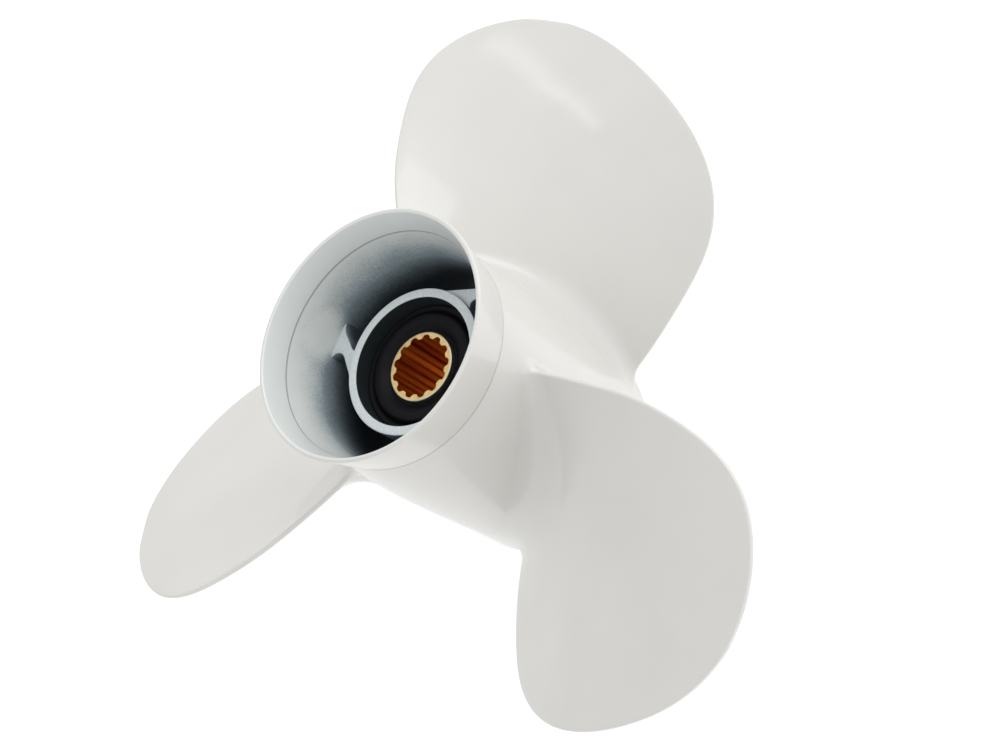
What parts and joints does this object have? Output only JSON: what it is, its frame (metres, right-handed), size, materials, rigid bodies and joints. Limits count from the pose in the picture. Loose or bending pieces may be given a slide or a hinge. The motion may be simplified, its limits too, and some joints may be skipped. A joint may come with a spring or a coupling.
{
  "type": "boat propeller",
  "caption": "Outboard motor propeller with raked blades, a through-hub exhaust passage with a flared ring, and a rubber-bushed splined brass sleeve.",
  "frame": {"origin": "on the shaft axis, at the forward end of the hub barrel, which the part stands on", "axes": "+Z along the shaft axis, pointing aft; +X along the reference line of the first blade"},
  "size_m": [0.2394, 0.257, 0.1172],
  "materials": {
    "white_paint": "satin off-white paint over cast aluminium",
    "bush_rubber": "moulded black rubber, satin",
    "sleeve_brass": "machined brass with broached splines"
  },
  "bodies": {
    "drive": {"spline_sleeve": "sleeve_brass", "rubber_bush": "bush_rubber"},
    "casting": {"outer_barrel": "white_paint", "exhaust_ring": "white_paint", "inner_hub": "white_paint", "rib_1": "white_paint", "rib_2": "white_paint", "rib_3": "white_paint", "blade_1": "white_paint", "blade_2": "white_paint", "blade_3": "white_paint"}
  },
  "joints": [
    {"name": "bush_windup", "type": "hinge", "parent": "drive", "child": "casting", "pos_m": [0, 0, 0.05], "axis": [0, 0, 1], "range_deg": [-15, 15], "stiffness_Nm_per_rad": 550}
  ]
}
